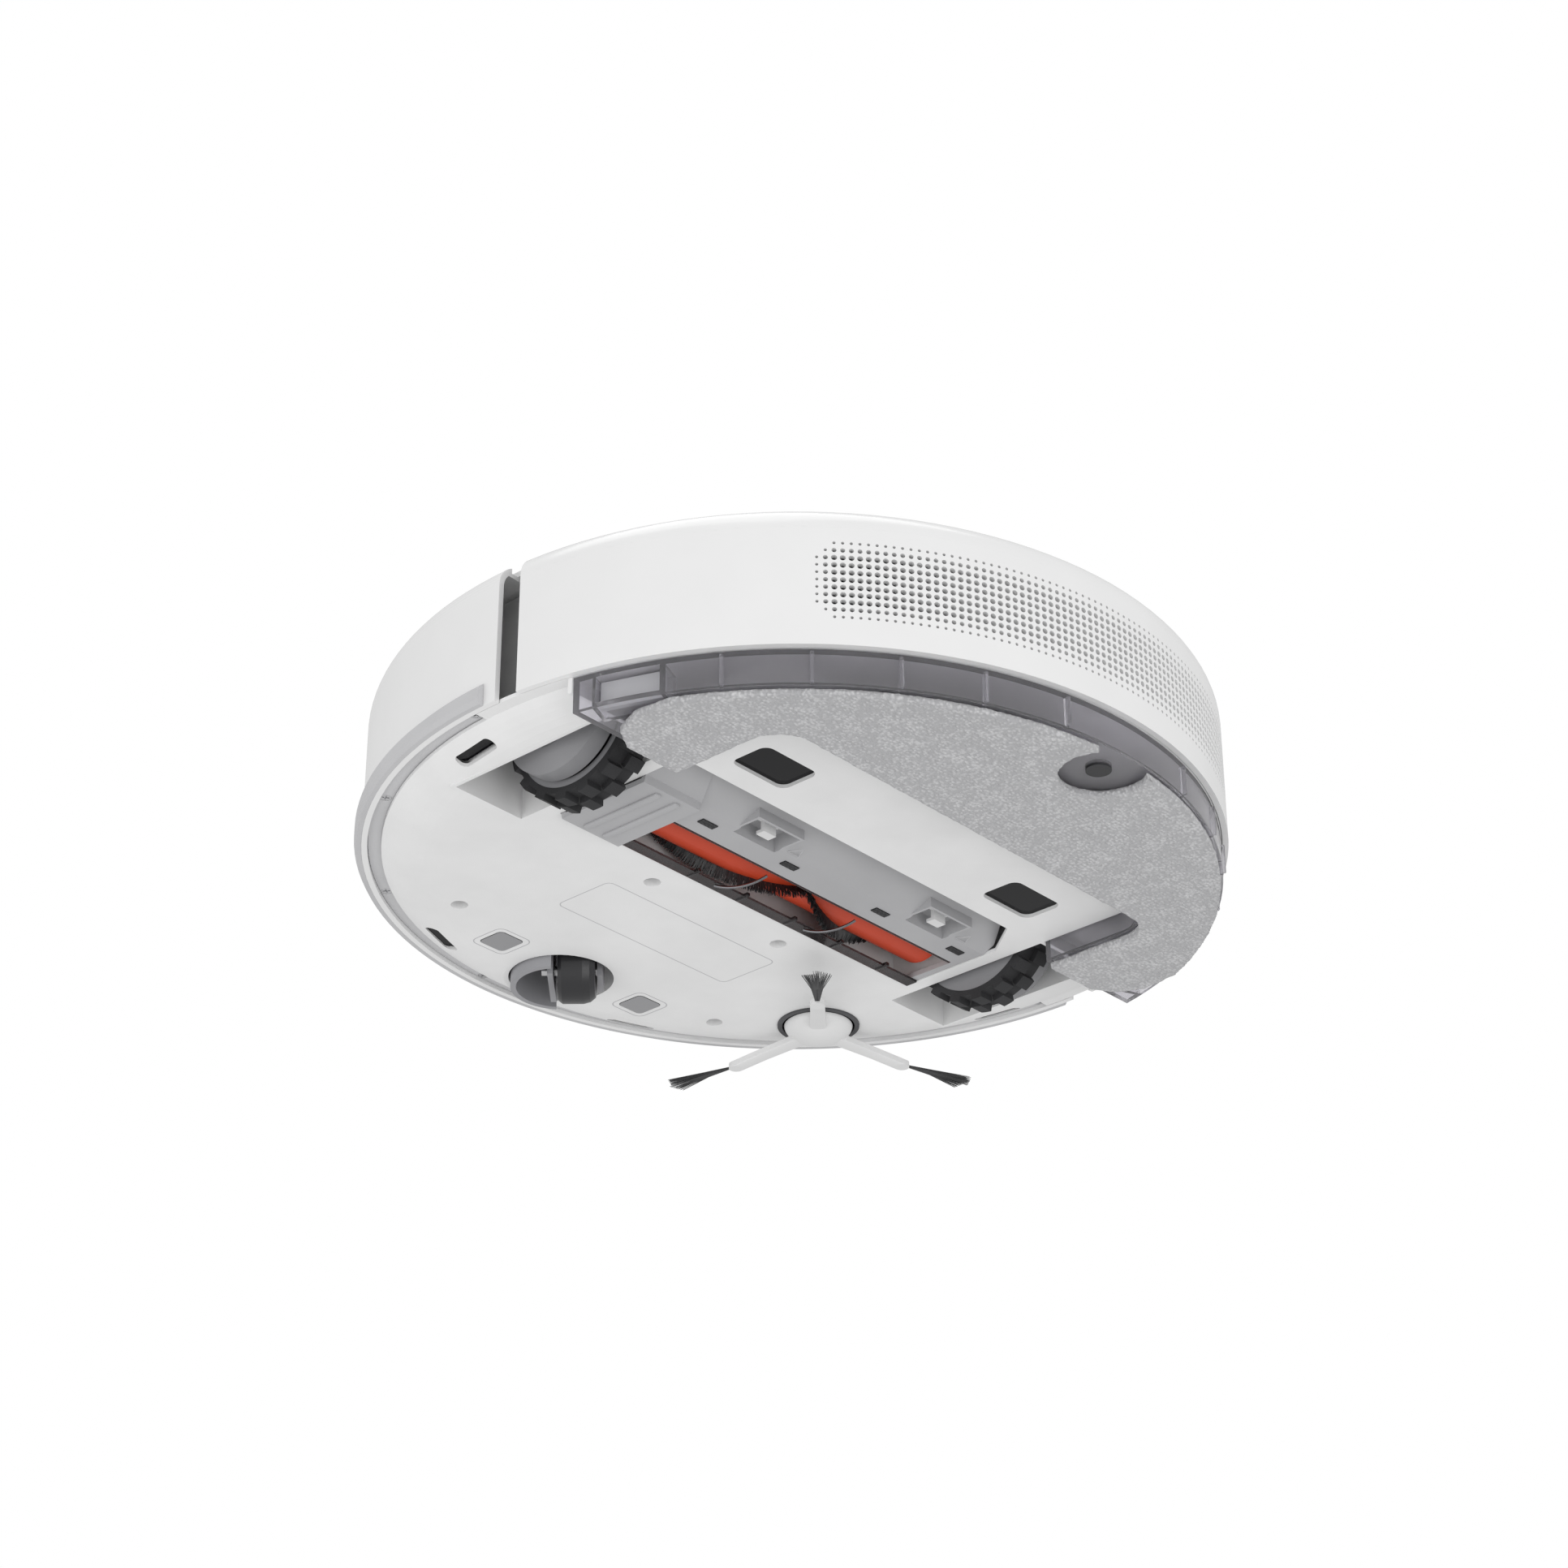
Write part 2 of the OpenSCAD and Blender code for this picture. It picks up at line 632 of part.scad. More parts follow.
module side_brush_bristles() {
  run = side_tip_r - side_arm_r - 1;
  tilt = atan(1.4 / run);
  color([0.2, 0.2, 0.2]) side_brush_at() side_arms() translate([side_arm_r + 0.1, 0, 2.6])
    rotate([0, 90 + tilt, 0]) cylinder(r1 = 1.5, r2 = 0.7, h = run);
}
module side_brush_motor() {
  color("dimgray") side_brush_at() difference() {
    union() {
      cylinder_between(12, pan_top, 46);
      // flange that stands on the pan, clear of the inner wall
      intersection() {
        difference() {
          cylinder_between(22, pan_top + 0.6, 27);
          cylinder_between(18.2, 0, 24.5);
        }
        translate([-side_brush[0], -side_brush[1], 0]) cylinder(r = inner_r - inner_t - gap, h = 60, $fn = 180);
      }
    }
    cylinder_between(motor_shaft_r + running, 0, 36);
  }
}
module side_brush_ring() {
  color([0.25, 0.25, 0.25]) side_brush_at() difference() {
    cylinder_between(17.9, pan_z - 0.8, pan_top);
    cylinder_between(15.9, 0, 30);
  }
}

// ---------- main brush ----------
module main_brush_core() {
  color([0.8, 0.24, 0.1]) {
    rod_x(core_r, core_x[0], core_x[1], brush_y, brush_z);
    rod_x(4, core_x[1], gear_x + gear_w + 2, brush_y, brush_z);
    rod_x(3, core_x[0] - 5, core_x[0], brush_y, brush_z);
  }
}
module main_brush_bristles() {
  ends = [core_x[0] + 2, core_x[1] - 8];
  half = (ends[1] - ends[0]) / 2;
  color([0.1, 0.1, 0.1]) translate([ends[0] + half, brush_y, brush_z]) for (m = [0, 1]) mirror([m, 0, 0])
    rotate([90, 0, 90]) for (a = [20, 200]) rotate([0, 0, a])
      linear_extrude(height = half, twist = -130, slices = 18, segments = 4)
        translate([core_r + 0.2, -1.6]) square([bristle_r - core_r - 0.4, 3.2]);
}
module brush_gear() {
  color("white") difference() {
    translate([0, brush_y, brush_z]) along_x(gear_x, gear_x + gear_w)
      rotate([0, 0, gear_lift]) gear_outline(gear_teeth);
    rod_x(4, gear_x - 1, gear_x + gear_w + 1, brush_y, brush_z);
  }
}
module brush_pinion() {
  color("white") translate([0, pinion_y, pinion_z]) {
    along_x(gear_x, gear_x + gear_w) rotate([0, 0, gear_lift + 180 + 180 / pinion_teeth])
      gear_outline(pinion_teeth);
    rod_x(motor_shaft_r, gear_x + gear_w, gear_x + 17, 0, 0);
  }
}
module main_brush_motor() {
  color("dimgray") difference() {
    rod_x(12, gear_x + 9.5, gear_x + 26, pinion_y, pinion_z);
    rod_x(motor_shaft_r + running, gear_x + 5, gear_x + 18, pinion_y, pinion_z);
  }
}
module brush_bearing() {
  color("dimgray") difference() {
    box([chamber_x[0], brush_y - 6, brush_z - 6], [core_x[0] - 0.6, brush_y + 6, brush_z + 6]);
    rod_x(3 + running, chamber_x[0] - 1, core_x[0] + 1, brush_y, brush_z);
  }
}
module brush_housing() {
  t = chamber_t;
  r = chamber_r;
  base = cover_z + cover_t + gap;
  color("gainsboro") difference() {
    union() {
      along_x(chamber_x[0] - t, chamber_x[1] + t) chamber_outline(r + t);
      box([duct_x[0] - t, brush_y, duct_z[0] - t], [duct_x[1] + t, bin_y[0] - gap, duct_z[1] + t]);
      // case around the two gears, carrying the motor
      along_x(chamber_x[1], gear_x + 9.5) hull() gear_case_outline(0);
      // feet on the pan
      for (x = [chamber_x[0] - t, chamber_x[1] - 8]) box([x, bay_y[0] - 7, pan_top], [x + 8, bay_y[0] - 1, base + 1]);
    }
    along_x(chamber_x[0], chamber_x[1]) chamber_outline(r);
    box([duct_x[0], brush_y, duct_z[0]], [duct_x[1], bin_y[0] + 5, duct_z[1]]);
    along_x(chamber_x[1] + t, gear_x + 8) hull() gear_case_outline(t);
    rod_x(4.3, chamber_x[1] - 1, gear_x + 12, brush_y, brush_z);
    rod_x(4, gear_x + 6, gear_x + 12, pinion_y, pinion_z);
    box([-bay_x - 5, -80, 0], [bay_x + 5, 80, pan_top]);
    box([chamber_x[0] - t - 1, bay_y[0], 0], [gear_x + 12, 80, base]);
  }
}
module chamber_outline(r) {
  translate([brush_y, brush_z]) circle(r);
  translate([brush_y - r, 0]) square([2 * r, brush_z]);
}
module gear_case_outline(d) {
  translate([brush_y, brush_z]) circle(18.4 - d);
  translate([pinion_y, pinion_z]) circle(11 - d);
}
// Side view of the cover: flat plate, sloped rear band, flat rear edge
function cover_side(y0, t) = [[y0, cover_z], [band_y[0], cover_z], [band_y[1], cover_z + band_rise],
  [bay_y[1] - 0.5, cover_z + band_rise], [bay_y[1] - 0.5, cover_z + band_rise + t],
  [band_y[1] - 0.5, cover_z + band_rise + t], [band_y[0] - 0.7, cover_z + t], [y0, cover_z + t]];
module latch_places() {
  for (x = latch_x) translate([x, brush_y + 25 + latch_pocket[1] / 2, 0]) children();
}
module brush_cover() {
  w = latch_pocket[0];
  l = latch_pocket[1];
  floor_z = cover_z + 7.4;
  color("silver") difference() {
    union() {
      intersection() {
        union() {
          along_x(-bay_x + 0.4, cover_split + 12) polygon(cover_side(mouth_rear, cover_t));
          for (x = [-bay_x + 0.4, cover_split - 3.4])
            box([x, bay_y[0] + 0.4, cover_z], [x + 3.4, mouth_rear + 1, cover_z + cover_t]);
        }
        translate([0, 0, cover_z - 1]) linear_extrude(20) polygon([[-bay_x + 0.4, bay_y[0] + 0.3],
          [cover_split, bay_y[0] + 0.3], [cover_split, brush_y + 31.5], [cover_split + 10.5, bay_y[1]],
          [-bay_x + 13.4, bay_y[1]], [-bay_x + 0.4, bay_y[1] - 17.4]]);
      }
      latch_places() box([-w / 2 - 1.2, -l / 2 - 1.2, cover_z + 0.6], [w / 2 + 1.2, l / 2 + 1.2, floor_z + 1.4]);
    }
    latch_places() box([-w / 2, -l / 2, 0], [w / 2, l / 2, floor_z]);
    for (x = tuft_x) box([x - 4.4, brush_y + 20.2, 0], [x + 4.4, brush_y + 26.8 - 3, cover_z + 4]);
  }
}
module cover_tufts() {
  color([0.2, 0.2, 0.2]) for (x = tuft_x)
    box([x - 4.2, brush_y + 20.4, cover_z - 0.4], [x + 4.2, brush_y + 26.6 - 3, cover_z + cover_t]);
}
module brush_cover_lip() {
  z0 = pan_z - 0.7;
  x0 = -bay_x + 0.4;
  color([0.45, 0.43, 0.45, 0.6]) {
    box([x0, bay_y[0] + 0.5, z0], [cover_split, bay_y[0] + 6, z0 + 1]);
    rod_x(0.9, x0 + 3.6, cover_split - 3.6, mouth_rear - 1, cover_z + 0.9);
  }
}
module latch(i) {
  l = latch_pocket[1];
  color("white") translate([latch_x[i], brush_y + 25 + l / 2, 0]) {
    box([-3.5, 0, cover_z + 0.5], [3.5, 1.8, cover_z + 7.1]);
    box([-3.5, -2.5, cover_z + 0.5], [3.5, 0.2, cover_z + 1.9]);
    box([-6, 0, cover_z + 5.4], [6, l / 2 - gap, cover_z + 7.1]);
  }
}
module left_cover_latch() { latch(0); }
module right_cover_latch() { latch(1); }
// Bent wires that keep cords out of the roller
module guard_wires() {
  span = mouth_rear - bay_y[0] - 5;
  sag = 2.6;
  r = (span * span / 4 + sag * sag) / (2 * sag);
  half = asin(span / 2 / r);
  color("silver") for (x = wire_x) translate([x, (mouth_rear - 1 + bay_y[0] + 4) / 2, pan_z - 1.5 - sag + r])
    rotate([0, 0, 20]) rotate([90, 0, 90]) rotate([0, 0, -90 - half]) rotate_extrude(angle = 2 * half, $fn = 96)
      translate([r, 0]) circle(0.6, $fn = 16);
}
module gear_cover() {
  low = pan_z - 2.7;
  color("silver") difference() {
    along_x(cover_split + gap, bay_x - gap) gear_cover_side(low);
    translate([cover_split + gap, brush_y + 31.5, 0]) linear_extrude(60)
      polygon([[-1, 0], [0, 0], [10.5, 20.5], [-1, 20.5]]);
  }
}
module gear_cover_side(low) {
  polygon([[bay_y[0] + 0.3, cover_z],
    [bay_y[0] + 1, low], [brush_y + 31, low], [brush_y + 32, cover_z], [band_y[1], cover_z + band_rise],
    [bay_y[1] - 0.5, cover_z + band_rise], [bay_y[1] - 0.5, cover_z + band_rise + 2],
    [band_y[1] - 0.6, cover_z + band_rise + 2], [brush_y + 30.5, cover_z + 2], [brush_y + 29.5, low + 2.2],
    [bay_y[0] + 3, low + 2.2], [bay_y[0] + 2.4, cover_z + 1.8], [bay_y[0] + 0.3, cover_z + 1.8]]);
}

// ---------- mop ----------
module tab_frame(s) {
  on_side(s) rotate([0, 0, tab_angle]) translate([tank_r, 0, 0]) children();
}
module water_tank() {
  color([0.75, 0.74, 0.8, 0.5]) difference() {
    union() {
      difference() {
        translate([0, 0, tank_z]) linear_extrude(tank_top - tank_z) tank_outline(0);
        translate([0, 0, tank_z + tank_wall]) linear_extrude(tank_top - tank_z - 2 * tank_wall)
          tank_outline(tank_wall);
      }
      for (s = [1, -1]) tab_frame(s) box([-12.6, -14.5, tank_z + 0.5], [-0.6, 14.5, tank_top - 0.5]);
    }
    for (s = [1, -1]) tab_frame(s) box([-11, -12.8, tank_z + 2], [5, 12.8, tank_top - 2]);
    translate([notch[0], notch[1] - 2, 0]) cylinder_between(5, 0, tank_z + tank_wall + 2);
  }
}
module tank_button(s) {
  color("lightgray") tab_frame(s) {
    box([-6.6, -12.4, tank_z + 2.4], [-4.6, 12.4, tank_top - 2.4]);
    box([-10.8 + tab_travel, -3, tank_z + 4], [-6, 3, tank_top - 4]);
  }
}
module left_tank_button() { tank_button(1); }
module right_tank_button() { tank_button(-1); }
module tank_valve() {
  color("black") translate([notch[0], notch[1] - 2, 0]) cylinder_between(5, tank_z - 1, tank_z + tank_wall + 0.6);
}
module mop_cloth() {
  color("lightgray") linear_extrude(cloth_t) difference() {
    tank_outline(1);
    for (s = [1, -1]) scale([s, 1]) polygon([[leg_x + 26, tank_front_y], [body_r + 5, tank_front_y],
      [body_r + 5, 95], [152, 84], [155, 60], [150, 48]]);
    translate(notch) circle(notch_r);
  }
}

// ---------- inside ----------
module dust_bin() {
  t = 1.8;
  color([0.5, 0.5, 0.55, 0.6]) difference() {
    box([bin_x[0], bin_y[0], bin_z], [bin_x[1], bin_y[1], bin_top]);
    box([bin_x[0] + t, bin_y[0] + t, bin_z + t], [bin_x[1] - t, bin_y[1] - t, bin_top - t]);
    box([duct_x[0] + 18, bin_y[0] - 1, duct_z[0]], [duct_x[1], bin_y[0] + 3, duct_z[1]]);
    box([bin_x[0] - 1, fan_at[1] - 28, 30], [bin_x[0] + 3, fan_at[1] + 28, 62]);
  }
}
module dust_filter() {
  color("white") box([bin_x[0] - 4, fan_at[1] - 29, 29], [bin_x[0] - gap, fan_at[1] + 29, 63]);
}
module fan_housing() {
  t = 1.8;
  color("dimgray") translate([fan_at[0], fan_at[1], 0]) difference() {
    union() {
      cylinder_between(fan_r, bin_z, 60);
      box([0, -29, 29], [bin_x[0] - 4 - gap - fan_at[0], 29, 60]);
      rotate([0, 0, 150]) box([0, 4, 26], [fan_r + 4, fan_r - 4, 58]);
    }
    cylinder_between(fan_r - t, bin_z + t, 60 - t);
    box([0, -27, 31], [bin_x[0] + 2 - fan_at[0], 27, 58]);
    rotate([0, 0, 150]) box([0, 6, 28], [fan_r + 9, fan_r - 6, 56]);
    cylinder_between(14, 50, 70);
  }
}
module fan_impeller() {
  color([0.2, 0.2, 0.2]) translate([fan_at[0], fan_at[1], 0]) {
    cylinder_between(30, 27, 29);
    cylinder_between(7, 28.9, 40);
    cylinder_between(motor_shaft_r, 39, 54);
    for (i = [0:8]) rotate([0, 0, i * 40]) translate([6.5, -0.7, 28.9]) cube([23, 1.4, 10]);
  }
}
module fan_motor() {
  color("silver") translate([fan_at[0], fan_at[1], 0]) difference() {
    union() {
      cylinder_between(13.8, 44, 66);
      cylinder_between(17, 60, 62);
    }
    cylinder_between(motor_shaft_r + running, 40, 56);
  }
}
module battery_pack() {
  color("darkslategray") box([-66, -106, pan_top + 0.2], [66, bay_y[0] - 20.5, 50]);
}
module main_board() {
  color("darkgreen") {
    box([-60, -104, 50.3], [60, -53, 52]);
    for (x = [-40, -8, 24]) box([x, -90, 52], [x + 16, -70, 54]);
    for (s = [1, -1]) box([s * 16 - 4, -74, 52], [s * 16 + 4, -66, deck_z - 13]);
  }
}

chassis();
upper_housing();
bin_lid();
lid_hinge_pins();
power_button();
home_button();
camera_window();
bumper();
bumper_strip();
bumper_ring();
bumper_screws();
bumper_springs();
bumper_switches();
base_screws();
charging_contacts();
rear_cliff_windows();
front_cliff_windows();
caster_fork();
caster_wheel();
caster_axle();
left_wheel_arm();
right_wheel_arm();
left_drive_motor();
right_drive_motor();
left_wheel_rim();
right_wheel_rim();
left_tyre();
right_tyre();
arm_pins();
suspension_springs();
side_brush_rotor();
side_brush_bristles();
side_brush_motor();
side_brush_ring();
main_brush_core();
main_brush_bristles();
brush_gear();
brush_pinion();
main_brush_motor();
brush_bearing();
brush_housing();
brush_cover();
brush_cover_lip();
left_cover_latch();
right_cover_latch();
cover_tufts();
guard_wires();
gear_cover();
water_tank();
mop_cloth();
left_tank_button();
right_tank_button();
tank_valve();
dust_bin();
dust_filter();
fan_housing();
fan_impeller();
fan_motor();
battery_pack();
main_board();
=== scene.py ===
import math
import bmesh
import bpy
from mathutils import Matrix, Vector


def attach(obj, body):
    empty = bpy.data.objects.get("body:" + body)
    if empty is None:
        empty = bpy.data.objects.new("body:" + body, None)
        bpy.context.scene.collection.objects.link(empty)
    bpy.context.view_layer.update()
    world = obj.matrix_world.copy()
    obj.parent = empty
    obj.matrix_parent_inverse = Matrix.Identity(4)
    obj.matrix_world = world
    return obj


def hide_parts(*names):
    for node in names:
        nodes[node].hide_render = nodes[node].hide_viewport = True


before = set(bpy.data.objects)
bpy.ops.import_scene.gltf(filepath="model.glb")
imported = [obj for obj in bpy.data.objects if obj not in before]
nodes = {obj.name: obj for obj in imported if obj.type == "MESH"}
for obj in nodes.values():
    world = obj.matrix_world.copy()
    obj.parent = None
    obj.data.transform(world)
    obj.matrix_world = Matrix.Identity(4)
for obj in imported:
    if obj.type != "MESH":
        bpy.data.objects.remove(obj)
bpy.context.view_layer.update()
bpy.ops.object.select_all(action="DESELECT")


# The underside pan: one white moulding with the wheel wells, the brush bay, the caster socket and the
# sensor recesses in it. ABS, spark-eroded to a fine matte grain.
def moulded(name, colour, rough, grain, depth, coat=0.0, mottle=0.03):
    """A moulded plastic or rubber: fine grain in the bump, and a slight unevenness of tone."""
    m = bpy.data.materials.new(name)
    m.use_nodes = True
    n, l = m.node_tree.nodes, m.node_tree.links
    shader = n["Principled BSDF"]
    shader.inputs["Roughness"].default_value = rough
    shader.inputs["Coat Weight"].default_value = coat
    shader.inputs["Coat Roughness"].default_value = 0.12
    place = n.new("ShaderNodeTexCoord")
    cloud = n.new("ShaderNodeTexNoise")
    cloud.inputs["Scale"].default_value = 38
    cloud.inputs["Detail"].default_value = 3
    l.new(place.outputs["Object"], cloud.inputs["Vector"])
    tone = n.new("ShaderNodeValToRGB")
    tone.color_ramp.elements[0].position, tone.color_ramp.elements[1].position = 0.3, 0.7
    tone.color_ramp.elements[0].color = [c * (1 - mottle) for c in colour] + [1]
    tone.color_ramp.elements[1].color = [min(1, c * (1 + mottle)) for c in colour] + [1]
    l.new(cloud.outputs["Fac"], tone.inputs["Fac"])
    l.new(tone.outputs["Color"], shader.inputs["Base Color"])
    fine = n.new("ShaderNodeTexNoise")
    fine.inputs["Scale"].default_value = grain
    fine.inputs["Detail"].default_value = 2
    l.new(place.outputs["Object"], fine.inputs["Vector"])
    bump = n.new("ShaderNodeBump")
    bump.inputs["Strength"].default_value = depth
    bump.inputs["Distance"].default_value = 0.0002
    l.new(fine.outputs["Fac"], bump.inputs["Height"])
    l.new(bump.outputs["Normal"], shader.inputs["Normal"])
    return m


def finish_node(material, *names):
    """Gives CAD nodes their material."""
    for name in names:
        nodes[name].data.materials.clear()
        nodes[name].data.materials.append(material)


pan_white = moulded("pan_white", (0.80, 0.80, 0.80), 0.45, 2600, 0.2)
finish_node(pan_white, "chassis", "brush_housing", "brush_gear", "brush_pinion")


# Grooves in the pan: a rounded rectangle where a rating label would go, one around each charging contact, and
# two small triangles beside the latch pockets. Each is a shallow sunk line, its darker grey painted shade in the
# groove.
def groove(name, points, width, z, material, body):
    """A sunk line along a closed outline on the underside: a thin closed band with a rounded underside."""
    bpy.ops.mesh.primitive_circle_add(vertices=len(points), radius=0.01, fill_type="NOTHING")
    o = bpy.context.object
    o.name = name
    o.matrix_world = Matrix.Identity(4)
    bm = bmesh.new()
    bm.from_mesh(o.data)
    bm.verts.ensure_lookup_table()
    for v, p in zip(bm.verts, points):
        v.co = (p[0], p[1], z)
    count = len(points)
    rings = []
    for k in range(count):
        a, b, c = (Vector(points[(k + s) % count]) for s in (-1, 0, 1))
        t = ((b - a).normalized() + (c - b).normalized()).normalized()
        side = Vector((t.y, -t.x)) * width / 2
        rings.append([bm.verts.new((b.x + s * side.x, b.y + s * side.y, z + dz))
                      for s, dz in ((-1, 0.0002), (-0.6, -0.00004), (0.6, -0.00004), (1, 0.0002))])
    for v in [v for v in bm.verts if not any(v in r for r in rings)]:
        bm.verts.remove(v)
    for k in range(count):
        a, b = rings[k], rings[(k + 1) % count]
        for i in range(4):
            bm.faces.new((a[i], a[(i + 1) % 4], b[(i + 1) % 4], b[i]))
    bmesh.ops.recalc_face_normals(bm, faces=bm.faces)
    bm.to_mesh(o.data)
    bm.free()
    o.data.materials.clear()
    o.data.materials.append(material)
    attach(o, body)


def rounded(cx, cy, w, h, r, steps=6):
    """Points round a rounded rectangle."""
    pts = []
    for qx, qy, a0 in ((1, 1, 0), (-1, 1, 90), (-1, -1, 180), (1, -1, 270)):
        for i in range(steps + 1):
            a = math.radians(a0 + 90 * i / steps)
            pts.append((cx + qx * (w / 2 - r) + r * math.cos(a), cy + qy * (h / 2 - r) + r * math.sin(a)))
    return pts


pan_z = 0.0127
# Darker grey of the sunk lines: painted shade in the grooves.
groove_painted_shade = moulded("groove_painted_shade", (0.50, 0.50, 0.51), 0.6, 2600, 0.2)
groove("label_groove", rounded(0, -0.071, 0.100, 0.030, 0.003), 0.0007, pan_z, groove_painted_shade, "base")
for side, x in (("left", 0.0415), ("right", -0.0415)):
    groove(side + "_contact_groove", rounded(x, -0.1275, 0.0185, 0.0185, 0.0035), 0.0008, pan_z, groove_painted_shade, "base")
for side, x in (("left", 0.0355), ("right", -0.069)):
    groove(side + "_latch_mark", [(x - 0.0185, 0.020), (x - 0.0155, 0.0145), (x - 0.0215, 0.0145)],
           0.0005, 0.013, groove_painted_shade, "cover")

# Screws of the pan and of the bumper's ring, the hinge, arm and caster pins, and the springs: zinc-plated steel,
# turned or wound, with the fine scratches of a driver.
def metal(name, colour, rough, scratch):
    """Plated metal with fine scratches."""
    m = bpy.data.materials.new(name)
    m.use_nodes = True
    n, l = m.node_tree.nodes, m.node_tree.links
    shader = n["Principled BSDF"]
    shader.inputs["Metallic"].default_value = 1
    shader.inputs["Base Color"].default_value = (*colour, 1)
    place = n.new("ShaderNodeTexCoord")
    streak = n.new("ShaderNodeTexNoise")
    streak.inputs["Scale"].default_value = scratch
    l.new(place.outputs["Object"], streak.inputs["Vector"])
    spread = n.new("ShaderNodeMapRange")
    spread.inputs["To Min"].default_value = rough - 0.1
    spread.inputs["To Max"].default_value = rough + 0.1
    l.new(streak.outputs["Fac"], spread.inputs["Value"])
    l.new(spread.outputs["Result"], shader.inputs["Roughness"])
    return m


zinc = metal("zinc", (0.62, 0.62, 0.63), 0.36, 900)
finish_node(zinc, "base_screws", "bumper_screws", "lid_hinge_pins", "arm_pins", "suspension_springs",
            "bumper_springs", "caster_axle", "fan_motor")

# The two square charging contacts: stamped plates, nickel plated and brushed, clipped into the pan.
contact_plate = metal("contact_plate", (0.42, 0.42, 0.43), 0.42, 1500)
finish_node(contact_plate, "charging_contacts")

# Cliff-sensor windows: infrared-clear black acrylic, polished, welded in from the inside.
black_glass = moulded("black_glass", (0.004, 0.004, 0.005), 0.08, 300, 0.02)
black_glass.node_tree.nodes["Principled BSDF"].inputs["Specular IOR Level"].default_value = 0.15
finish_node(black_glass, "rear_cliff_windows", "front_cliff_windows", "camera_window")

# Drive modules: each a swinging arm with a domed cap over its gears and a gear motor behind the wheel.
# Light-grey ABS arm, its grey darkened as painted shade over the domed cap; dark glass-filled motor case.
# The arm and rim grey is darker than the ABS: painted shade.
module_painted_shade_grey = moulded("module_painted_shade_grey", (0.24, 0.24, 0.25), 0.42, 2200, 0.2)
finish_node(module_painted_shade_grey, "left_wheel_arm", "right_wheel_arm", "left_wheel_rim", "right_wheel_rim")
case_dark = moulded("case_dark", (0.045, 0.045, 0.05), 0.5, 1800, 0.3)
finish_node(case_dark, "left_drive_motor", "right_drive_motor", "side_brush_motor", "main_brush_motor",
            "brush_bearing", "fan_housing", "fan_impeller", "bumper_switches")

# Tyres: black rubber with two staggered rows of lugs, moulded on to the rims, dusty on their tops.
tyre_black = moulded("tyre_black", (0.022, 0.022, 0.024), 0.72, 1500, 0.5, mottle=0.35)
finish_node(tyre_black, "left_tyre", "right_tyre")

# Caster: a grey half-cup fork that swivels in the pan, and a hard black roller on a steel axle.
caster_grey = moulded("caster_grey", (0.30, 0.30, 0.315), 0.45, 2200, 0.2)
finish_node(caster_grey, "caster_fork")
caster_black = moulded("caster_black", (0.02, 0.02, 0.022), 0.36, 900, 0.15)
finish_node(caster_black, "caster_wheel")

# Roller brush: an orange-red rubber core on a steel-cored shaft, with two V-shaped rows of black nylon bristles
# that are stapled into it in tufts and wind along it from both ends.
roller_orange = moulded("roller_orange", (0.56, 0.05, 0.012), 0.5, 1200, 0.25, mottle=0.06)
finish_node(roller_orange, "main_brush_core")
bristle_black = moulded("bristle_black", (0.02, 0.02, 0.022), 0.4, 3000, 0.1, mottle=0.3)


def loose(name, verts, faces):
    """A new object in the scene from points and faces."""
    mesh = bpy.data.meshes.new(name)
    mesh.from_pydata(verts, [], faces)
    o = bpy.data.objects.new(name, mesh)
    bpy.context.scene.collection.objects.link(o)
    return o


third, golden = math.radians(120), 2.4
axis_y, axis_z = -0.015, 0.031
core_grip, bristle_reach, reach_spread = 0.0138, 0.0194, 0.0007
row_from, row_to = -0.095, 0.064
row_mid, row_half = (row_from + row_to) / 2, (row_to - row_from) / 2
tufts = []
tuft_count, tuft_turn = 115, math.radians(130)
for half in (1, -1):
    for start in (-62, 118):
        verts, faces = [], []
        for k in range(tuft_count):
            u = (k + 0.5) / tuft_count
            turn = math.radians(start) - tuft_turn * u
            for b in range(7):
                spread_x = 0.0011 * math.cos(b * golden) * (0.4 + 0.1 * b)
                spread_a = 0.035 * math.sin(b * golden + k)
                reach = bristle_reach - reach_spread * ((b * 7 + k * 3) % 5) / 4
                x = row_mid + half * row_half * u
                base = len(verts)
                for r, thick, dx, da in ((core_grip, 0.00021, 0.3, 0.3), (reach, 0.00014, 1.3, 2.2)):
                    for c in range(3):
                        phi = c * third
                        a = turn + spread_a * da
                        verts.append((x + spread_x * dx + thick * math.cos(phi),
                                      axis_y + r * math.cos(a) - thick * math.sin(phi) * math.sin(a),
                                      axis_z + r * math.sin(a) + thick * math.sin(phi) * math.cos(a)))
                for c in range(3):
                    faces.append((base + c, base + (c + 1) % 3, base + 3 + (c + 1) % 3, base + 3 + c))
                faces.append((base + 5, base + 4, base + 3))
                faces.append((base, base + 1, base + 2))
        tufts.append(loose("bristle_row", verts, faces))


def join(objects, name):
    """Joins objects into one mesh with its faces pointing outwards."""
    bpy.ops.object.select_all(action="DESELECT")
    for o in objects:
        o.select_set(True)
    bpy.context.view_layer.objects.active = objects[0]
    if len(objects) > 1:
        bpy.ops.object.join()
    o = bpy.context.view_layer.objects.active
    o.name = name
    bpy.ops.object.transform_apply(location=True, rotation=True, scale=True)
    bpy.ops.object.mode_set(mode="EDIT")
    bpy.ops.mesh.select_all(action="SELECT")
    bpy.ops.mesh.normals_make_consistent(inside=False)
    bpy.ops.object.mode_set(mode="OBJECT")
    o.select_set(False)
    return o


def wear(o, material, body, replaced=()):
    """Gives a finished piece its material and its place in the frame."""
    o.data.materials.clear()
    o.data.materials.append(material)
    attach(o, body)
    for name in replaced:
        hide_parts(name)


wear(join(tufts, "roller_bristles"), bristle_black, "roller", ["main_brush_bristles"])

